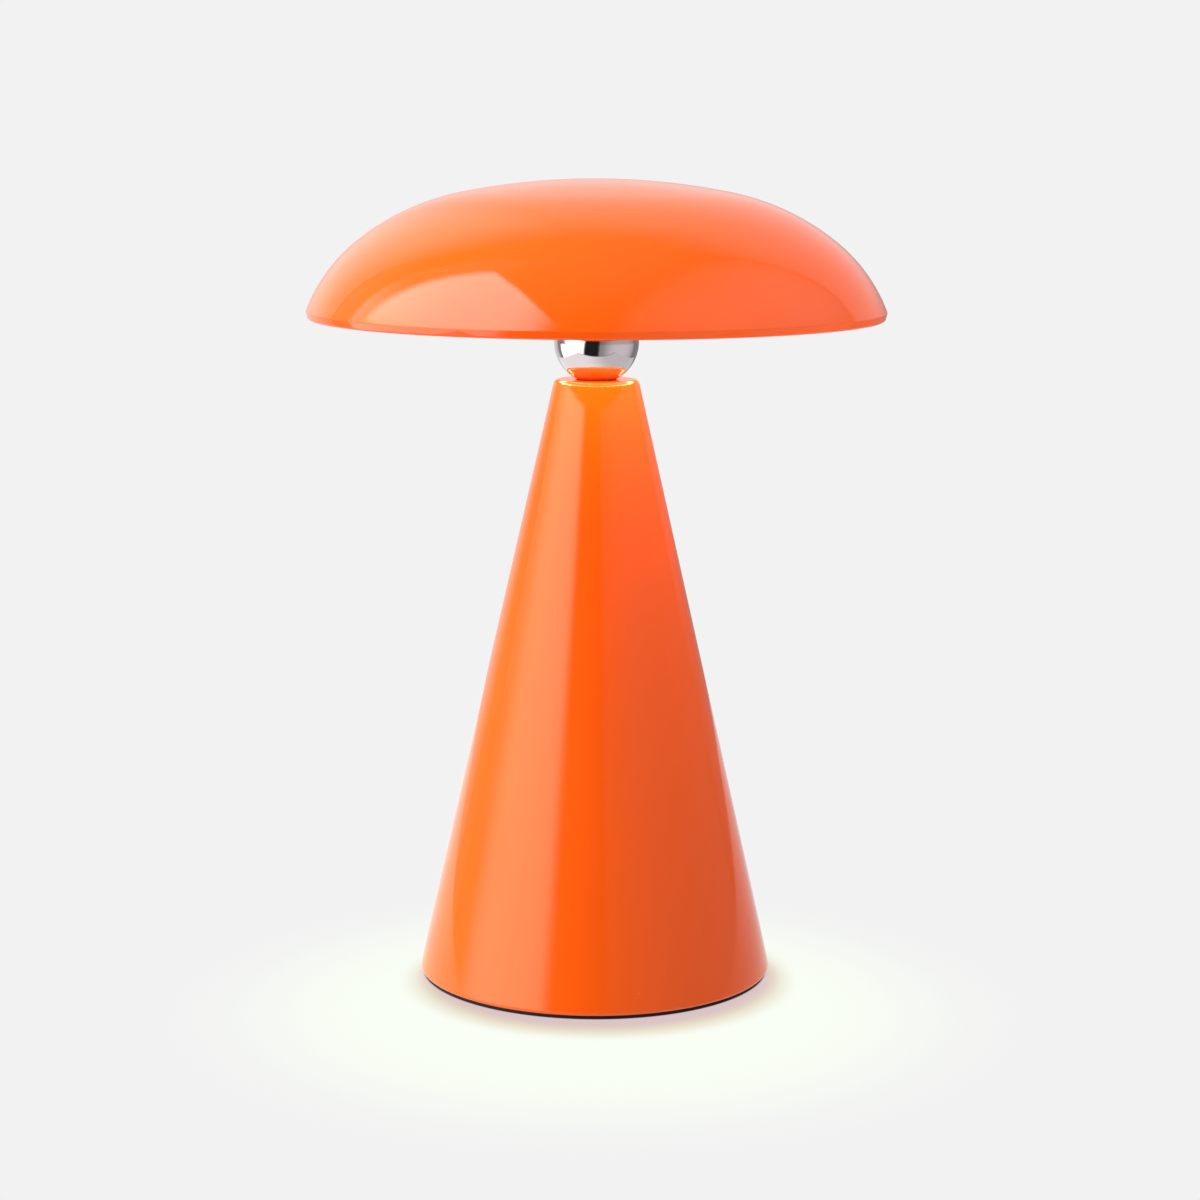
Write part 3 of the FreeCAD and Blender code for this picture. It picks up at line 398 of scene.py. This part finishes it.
phosphor, tree, shader, coords = new_finish("led_phosphor", Emission_Strength=2.0)
grain = add(tree, "Group", {"Vector": coords, "Size": 0.0009}, node_tree=moulded_grain).outputs
feed(tree, shader, grain["Height"], depth=0.00002,
     Base_Color=mixed(tree, grain["Tone"], (0.78, 0.5, 0.06, 1), (0.92, 0.7, 0.16, 1)),
     Emission_Color=mixed(tree, grain["Tone"], (1.0, 0.66, 0.3, 1), (1.0, 0.8, 0.45, 1)),
     Roughness=ramp(tree, grain["Tone"], 0.2, 0.8, 0.3, 0.5))
dress(phosphor, "led_chips")


# Light cover
# An opal acrylic dish screwed under the pan. The lights behind it show as 24 soft warm spots in
# a ring of 48.4 mm radius on an evenly glowing face, and mirror as longer, stronger glints.
led_circle, led_pitch, ring_spread = 0.0484, 2 * math.pi / 24, 0.026
spot_size, mirrored_length = 0.0026, 0.0058
face_power, ring_power, spot_power, mirrored_power = 0.3, 0.4, 7.0, 110.0
warm_white = (1.0, 0.74, 0.36)


def bell(tree, *offsets):
    """A soft spot: e to the power of minus the sum of the squared offsets."""
    total = 0.0
    for offset in offsets:
        total = calc(tree, "MULTIPLY_ADD", offset, offset, total)
    return calc(tree, "EXPONENT", calc(tree, "MULTIPLY", total, -1.0))


opal, tree, shader, coords = new_finish("opal_light_cover", Emission_Strength=1.0)
mirror_ray = add(tree, "LightPath", {}).outputs["Is Glossy Ray"]
place = add(tree, "SeparateXYZ", {0: coords}).outputs
across_square = calc(tree, "MULTIPLY", place["X"], place["X"])
radius = calc(tree, "SQRT", calc(tree, "MULTIPLY_ADD", place["Y"], place["Y"], across_square))
turn = calc(tree, "WRAP", calc(tree, "ARCTAN2", place["Y"], place["X"]), -led_pitch / 2, led_pitch / 2)
outwards = calc(tree, "SUBTRACT", radius, led_circle)
spot = bell(tree,
            calc(tree, "DIVIDE", calc(tree, "MULTIPLY", turn, radius), spot_size),
            calc(tree, "DIVIDE", outwards, ramp(tree, mirror_ray, 0.0, 1.0, spot_size, mirrored_length)))
ring = bell(tree, calc(tree, "DIVIDE", outwards, ring_spread))
power = ramp(tree, mirror_ray, 0.0, 1.0, spot_power, mirrored_power)
glow = calc(tree, "MULTIPLY_ADD", spot, power, calc(tree, "MULTIPLY_ADD", ring, ring_power, face_power))
light = add(tree, "VectorMath", {0: warm_white, 3: glow}, operation="SCALE").outputs[0]
grain = add(tree, "Group", {"Vector": coords, "Size": 0.0003}, node_tree=moulded_grain).outputs
feed(tree, shader, grain["Height"], depth=0.00001, Emission_Color=light,
     Base_Color=mixed(tree, grain["Tone"], (0.66, 0.58, 0.44, 1), (0.72, 0.65, 0.52, 1)),
     Roughness=ramp(tree, grain["Tone"], 0.2, 0.8, 0.35, 0.5))
dress(opal, "light_cover")

# The light that the cover throws on the cone and the table below it.
cover_face, throw_width, throw_watts = 0.2385, 0.13, 0.27
throw = bpy.data.lights.new("led_throw", "AREA")
throw.shape, throw.size, throw.energy, throw.color = "DISK", throw_width, throw_watts, warm_white
led_throw = bpy.data.objects.new("led_throw", throw)
led_throw.location = (0.0, 0.0, cover_face)
led_throw.visible_camera = led_throw.visible_glossy = False
bpy.context.scene.collection.objects.link(led_throw)


# Shade
# One spun steel dome, 200 mm across and 1.2 mm thick: a flat crown, a rounder shoulder and a steep
# flank, bent in at its foot to a narrow straight rim. Sprayed in the cone's orange lacquer, inside too.
lamp_height, shade_radius, shade_height, shade_wall = 280.0, 100.0, 47.6, 1.2
shoulder_radius, rim_bend, rim_height, rim_edge, rim_inner_edge = 84.0, 0.7, 2.6, 1.0, 0.2
crown_end, shoulder_end, flank_end, rim_face = np.radians((11.2, 38.7, 68.5, 104.0))


def heading(angle):
    """Unit vectors (out, up) at angles from straight up."""
    return np.stack((np.sin(angle), np.cos(angle)), -1)


def dome_section(wall, flank_stop, parts):
    """Rows of three tangent arcs from the crown to the foot of the flank, inside the outer face by wall.

    Each arc is centre + radius * heading(t) and begins where the last one ends.
    """
    begin, rows, place = 0.0, [], np.array((0.0, lamp_height))
    bends, stops = (crown_radius, shoulder_radius, flank_radius), (crown_end, shoulder_end, flank_stop)
    for bend, stop, count in zip(bends, stops, parts):
        centre = place - bend * heading(begin)
        angles = np.linspace(begin, stop, count + 1)[1 if rows else 0:]
        rows.append(centre + (bend - wall) * heading(angles))
        place, begin = centre + bend * heading(stop), stop
    return np.concatenate(rows)


def rim_foot(spot):
    """Where a line from a spot down the slope of the rim meets the rim's lower edge."""
    downwards = np.array((math.cos(rim_face), -math.sin(rim_face)))
    return spot + downwards * (spot[1] - rim_bottom) / math.sin(rim_face)


# The crown and flank radii are those that bring the three arcs from the crown to the bend.
rim_bottom = lamp_height - shade_height
bend_middle = np.array((shade_radius - rim_bend, rim_bottom + rim_height))
crown_radius, flank_radius = np.linalg.solve(
    np.stack((heading(crown_end) - heading(0.0), heading(flank_end) - heading(shoulder_end)), -1),
    bend_middle + rim_bend * heading(flank_end) - (0, lamp_height)
    - shoulder_radius * (heading(shoulder_end) - heading(crown_end)))
# The inner flank stops where it meets the inner face of the rim.
to_rim = (flank_radius - rim_bend) * math.cos(rim_face - flank_end) + rim_bend - shade_wall
corner_end = rim_face - math.acos(to_rim / (flank_radius - shade_wall))
# The section runs down the outside, round the bend, under the rim and back up the inside.
outer_parts, inner_parts, bend_parts = (36, 40, 56), (16, 20, 30), 12
dome_rows = dome_section(0.0, flank_end, outer_parts)
bend_rows = bend_middle + rim_bend * heading(np.linspace(flank_end, rim_face, bend_parts + 1))
inner_rows = dome_section(shade_wall, corner_end, inner_parts)
rim_rows = rounded_section([
    bend_rows[-1], (*rim_foot(bend_rows[-1]), rim_edge), (*rim_foot(inner_rows[-1]), rim_inner_edge),
    inner_rows[-1]])
shade = turned_surface("shade", np.concatenate((dome_rows, bend_rows[1:], rim_rows[1:], inner_rows[-2::-1])))
shade.data.materials.append(orange)
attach(shade, "lamp")
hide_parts("shade_dome")


# Table
# A plain pale table top, not part of the lamp. It is as bright as the backdrop, with a painted pool of
# the lamp's light in front of it, a painted shadow round the foot that only the camera sees, and a
# painted dark contact shade under the foot's edge.
table_side, table_front, table_back = 0.42, 0.315, 0.6
backdrop = 0.888
plain_paper, lit_paper = (backdrop, backdrop, backdrop, 1), (0.955, 1.0, 0.91, 1)
outer_shadow, inner_shadow = (0.8, 0.72, 0.555, 1), (0.708, 0.552, 0.558, 1)
painted_contact_shade = (0.05, 0.035, 0.04, 1)
sheet = bpy.data.meshes.new("table")
sheet.from_pydata(
    [(-table_side, -table_front, 0), (table_side, -table_front, 0), (table_side, table_back, 0),
     (-table_side, table_back, 0)], [], [(0, 1, 2, 3)])
table = bpy.data.objects.new("table", sheet)
bpy.context.scene.collection.objects.link(table)
paper = bpy.data.materials.new("pale_table")
paper.use_nodes = True
tree = paper.node_tree
tree.nodes.clear()
coords = add(tree, "TexCoord", {}).outputs["Object"]
rays = add(tree, "LightPath", {}).outputs


def around(spot, full, gone):
    """1 within the distance full of a spot on the table, falling smoothly to 0 at the distance gone."""
    away = add(tree, "VectorMath", {0: coords, 1: spot}, operation="DISTANCE").outputs["Value"]
    return ramp(tree, away, full, gone, 1.0, 0.0)


def within(*masks):
    """The product of several masks."""
    result = masks[0]
    for mask in masks[1:]:
        result = calc(tree, "MULTIPLY", result, mask)
    return result


def blend(mask, first, second):
    """The first value where the mask is 0 and the second where it is 1."""
    return add(tree, "Mix", {0: mask, 2: first, 3: second}, data_type="FLOAT").outputs[0]


# The pool of light and the shadow round the foot are painted into the table's colour.
lamplight = around((0.0, -0.045, 0.0), full=0.07, gone=0.15)
painted_shadow_outer = within(around((0.0015, -0.0135, 0.0), full=0.058, gone=0.072), rays["Is Camera Ray"])
painted_shadow_inner = within(around((0.0015, -0.0095, 0.0), full=0.0565, gone=0.066), rays["Is Camera Ray"])
under_foot = around((0.0, 0.0, 0.0), full=0.0598, gone=0.0622)
colour = mixed(tree, lamplight, plain_paper, lit_paper)
colour = mixed(tree, painted_shadow_outer, colour, outer_shadow)
colour = mixed(tree, painted_shadow_inner, colour, inner_shadow)
# In the lacquer the table mirrors brighter on the left and dim along its front edge.
place = add(tree, "SeparateXYZ", {0: coords}).outputs
mirrored = within(
    ramp(tree, place["X"], -0.15, 0.15, 1.35, 0.85), ramp(tree, place["Y"], -0.305, -0.285, 0.4, 1.0))
share = blend(rays["Is Glossy Ray"], 1.0, mirrored)
lit = add(tree, "Emission", {"Color": colour, "Strength": share}).outputs[0]
# Under the foot's edge a thin ring of the table is coloured near black: a painted contact shade, still lit by
# the scene's light.
shadowed = add(tree, "BsdfDiffuse", {"Color": painted_contact_shade}).outputs[0]
face = add(tree, "MixShader", {0: under_foot, 1: lit, 2: shadowed}).outputs[0]
below = add(tree, "NewGeometry", {}).outputs["Backfacing"]
see_through = add(tree, "BsdfTransparent", {}).outputs[0]
seen = add(tree, "MixShader", {0: below, 1: face, 2: see_through}).outputs[0]
add(tree, "OutputMaterial", {"Surface": seen})
table.data.materials.append(paper)


# Light tent
# Plain soft light from white cloth walls: a bright wall on the left, a dim one on the right, a pale
# back and roof, and a dark slit at the front that the camera looks through. The lacquer and the
# chrome mirror the walls, and the soft light of the cloth falls on the lamp.
world = bpy.data.worlds.new("light_tent")
bpy.context.scene.world = world
world.use_nodes = True
tree = world.node_tree
tree.nodes.clear()
path = add(tree, "LightPath", {}).outputs
ray = add(tree, "TexCoord", {}).outputs["Generated"]
rise = add(tree, "SeparateXYZ", {0: ray}).outputs["Z"]
level_ray = add(tree, "VectorMath", {0: ray, 1: (1, 1, 0)}, operation="MULTIPLY").outputs[0]
flat_ray = add(tree, "VectorMath", {0: level_ray}, operation="NORMALIZE").outputs[0]


def dot(direction, vector):
    """The scalar product of a ray's direction and a vector."""
    return add(tree, "VectorMath", {0: direction, 1: vector}, operation="DOT_PRODUCT").outputs["Value"]


def beside(azimuth, tilt=0.0):
    """Vector whose product with a ray is above zero to the right of an upright edge at an azimuth.

    Azimuth is taken in degrees from the camera's side, positive to the right, and tilt leans the edge.
    """
    turn = math.radians(azimuth)
    return math.cos(turn), math.sin(turn), tilt


def flipped(vector):
    """The vector of the other side of an edge."""
    return tuple(-part for part in vector)


def towards(azimuth, height):
    """Vector whose product with a ray is above zero below the top edge of an upright wall facing the lamp."""
    turn = math.radians(azimuth)
    return height * math.sin(turn), -height * math.cos(turn), -1.0


def side_of(vector, soft, lead=0.0):
    """1 where the ray lies on the vector's side of a plane through the lamp and 0 behind it.

    The edge is softened by soft on either side of lead.
    """
    return ramp(tree, dot(ray, vector), lead - soft, lead + soft)


def facing(azimuth):
    """Cosine of the ray's turn about Z away from an azimuth."""
    turn = math.radians(azimuth)
    return dot(flat_ray, (math.sin(turn), -math.cos(turn), 0))


def off_seam(azimuth, dark):
    """1 beside an upright seam at an azimuth, and dark on its thin line."""
    return ramp(tree, calc(tree, "ABSOLUTE", dot(ray, beside(azimuth))), 0.005, 0.02, dark, 1.0)


def brightest(*levels):
    """The greatest of several levels."""
    result = levels[0]
    for level in levels[1:]:
        result = calc(tree, "MAXIMUM", result, level)
    return result


def lamp_glow(azimuth, height, power, strength):
    """Soft light round a direction: strength times the cosine to it, raised to a power, and 0 behind."""
    turn, lift = math.radians(azimuth), math.radians(height)
    middle = (math.sin(turn) * math.cos(lift), -math.cos(turn) * math.cos(lift), math.sin(lift))
    cosine = calc(tree, "MAXIMUM", dot(ray, middle), 0.0)
    return calc(tree, "MULTIPLY", calc(tree, "POWER", cosine, power), strength)


# Left wall: front, back and top edges, a fade from its middle, more light higher up, and a shaded
# band at the lamp's height that keeps one strip bright.
left_low, left_high = 3.45, 6.9
bright_strip = ramp(tree, facing(-58), 0.7, 1.0, ramp(tree, rise, 0.0, 0.2, 0.1, 0.4), 1.0)
over_band, under_band = ramp(tree, rise, 0.25, 0.42), ramp(tree, rise, -0.13, -0.07, 1.0, 0.0)
left_wall = within(
    side_of(flipped(beside(-33, tilt=-0.25)), soft=0.1), side_of(beside(-113, tilt=-0.16), soft=0.06),
    side_of(towards(-84, height=2.2), soft=0.03), ramp(tree, facing(-75), 0.4, 0.86),
    ramp(tree, rise, -0.1, 0.65, left_low, left_high), brightest(bright_strip, over_band, under_band))
# A fold of cloth behind it: two side edges and a lower edge, and less light higher up.
fold_low, fold_high = 2.15, 0.45
left_fold = within(
    side_of(beside(-117), soft=0.03), side_of(flipped(beside(-85)), soft=0.1), ramp(tree, rise, 0.2, 0.32),
    ramp(tree, rise, 0.42, 0.72, fold_low, fold_high))
# Right wall: front, back and top edges, most light at its middle, less low down and at the top, and
# some more again at the table.
right_ends, right_middle = 0.6, 1.34
right_wall = within(
    side_of(beside(8, tilt=-0.06), soft=0.08), side_of(flipped(beside(124)), soft=0.01),
    side_of(towards(75, height=2.6), soft=0.3), ramp(tree, facing(72), 0.5, 1.0, right_ends, right_middle),
    ramp(tree, rise, 0.1, 0.5, 0.42, 1.0), ramp(tree, rise, 0.7, 0.95, 1.0, 0.5),
    ramp(tree, rise, -0.13, -0.05, 1.45, 1.0))
# Back wall: side edges, a darker left corner, two seams, a soft top edge and a pale patch.
back_low_right, back_low_left, back_high = 0.28, 0.6, 0.86
left_corner = side_of(beside(-130), soft=0.02)
back_low = ramp(tree, facing(-90), -0.3, 0.3, back_low_right, back_low_left)
back_level = blend(ramp(tree, rise, -0.05, 0.2), back_low, back_high)
back_wall = within(
    side_of(flipped(beside(-113, tilt=-0.16)), soft=0.06), side_of(beside(124), soft=0.01),
    ramp(tree, left_corner, 0.0, 1.0, 1.0, 0.55), off_seam(-129.5, dark=0.5), off_seam(124.5, dark=0.6),
    side_of(towards(172, height=2.9), soft=0.7, lead=0.3), ramp(tree, facing(-152), 0.951, 1.0, 1.0, 1.4),
    back_level)
roof_edge, roof_middle = 0.02, 0.22
roof = ramp(tree, rise, 0.72, 1.0, roof_edge, roof_middle)
tent = brightest(left_wall, left_fold, right_wall, back_wall, roof)

# The soft light of the cloth comes mostly from the left and above, and from the floor below the horizon.
floor_left, floor_right, floor_front = 1.9, 2.4, 1.1
key_light = lamp_glow(-98, 34, power=4, strength=8.3)
top_light = lamp_glow(60, 75, power=8, strength=2.4)
back_light = lamp_glow(150, 30, power=1, strength=0.5)
cloth_light = calc(tree, "ADD", key_light, calc(tree, "ADD", top_light, back_light))
floor_sides = ramp(tree, facing(90), 0.2, 0.8, floor_left, floor_right)
floor_light = ramp(tree, facing(-40), 0.3, 1.0, floor_sides, floor_front)
soft_light = blend(ramp(tree, rise, -0.02, 0.0), floor_light, cloth_light)

# The camera and clear pieces see the plain backdrop, mirrors see the walls, and the rest the soft light.
white_cloth, warm_cloth = (1, 1, 1, 1), (1.0, 0.98, 0.73, 1)
seen_straight = calc(tree, "MAXIMUM", path["Is Camera Ray"], path["Is Transmission Ray"])
strength = blend(seen_straight, blend(path["Is Glossy Ray"], soft_light, tent), backdrop)
warmth = within(
    path["Is Glossy Ray"], ramp(tree, left_wall, 0.3, 1.5), ramp(tree, rise, 0.0, 0.1),
    ramp(tree, rise, 0.3, 0.55, 1.0, 0.0))
cloth = mixed(tree, warmth, white_cloth, warm_cloth)
backing = add(tree, "Background", {"Color": cloth, "Strength": strength}).outputs[0]
add(tree, "OutputWorld", {"Surface": backing})


# Camera
# Stands about a metre in front, a little above the shade's crown, and looks slightly down. It is
# turned by a fifth of a degree about its line of sight.
focal_length, sensor_width = 85.685, 36.0
camera_place = (0.0009, -0.98956, 0.30276)
look_down, roll = 9.71, -0.2
lens = bpy.data.cameras.new("camera")
lens.sensor_width, lens.lens = sensor_width, focal_length
camera = bpy.data.objects.new("camera", lens)
camera.location = camera_place
camera.rotation_euler = (math.radians(90 - look_down), math.radians(roll), 0.0)
bpy.context.scene.collection.objects.link(camera)
bpy.context.scene.camera = camera
